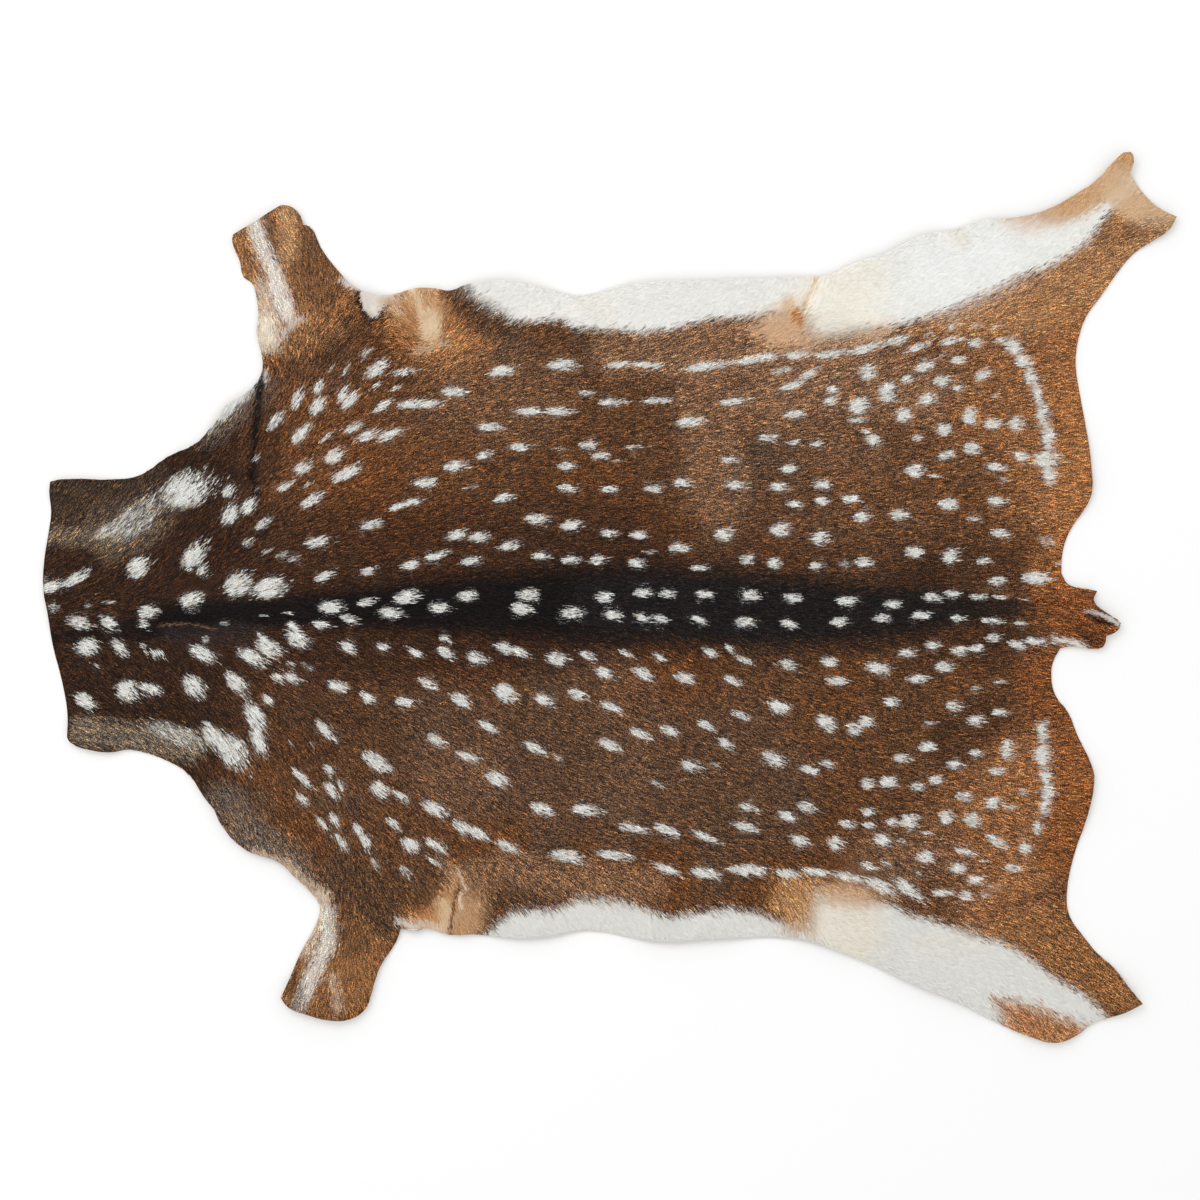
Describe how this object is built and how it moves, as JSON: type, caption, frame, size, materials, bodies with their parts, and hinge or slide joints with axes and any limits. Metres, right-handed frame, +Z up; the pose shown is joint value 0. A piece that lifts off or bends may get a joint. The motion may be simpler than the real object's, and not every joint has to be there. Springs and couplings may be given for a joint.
{
  "type": "spotted deer hide",
  "caption": "Hair-on deer hide laid flat: one thin skin with neck, leg skins and tail, brown coat with pale spots and white belly edges.",
  "frame": {"origin": "middle of the hide's outline, on the surface it lies on", "axes": "+X along the back towards the tail, +Y towards the upper belly edge, +Z up, out of the hair side"},
  "size_m": [1.1308, 0.8882, 0.0128],
  "materials": {
    "brown_hair": "short glossy deer hair, speckled brown with pale spots",
    "white_hair": "longer soft white belly hair",
    "tanned_skin": "matte suede, natural undyed tan"
  },
  "bodies": {
    "root": {"hide": "brown_hair"}
  },
  "joints": []
}
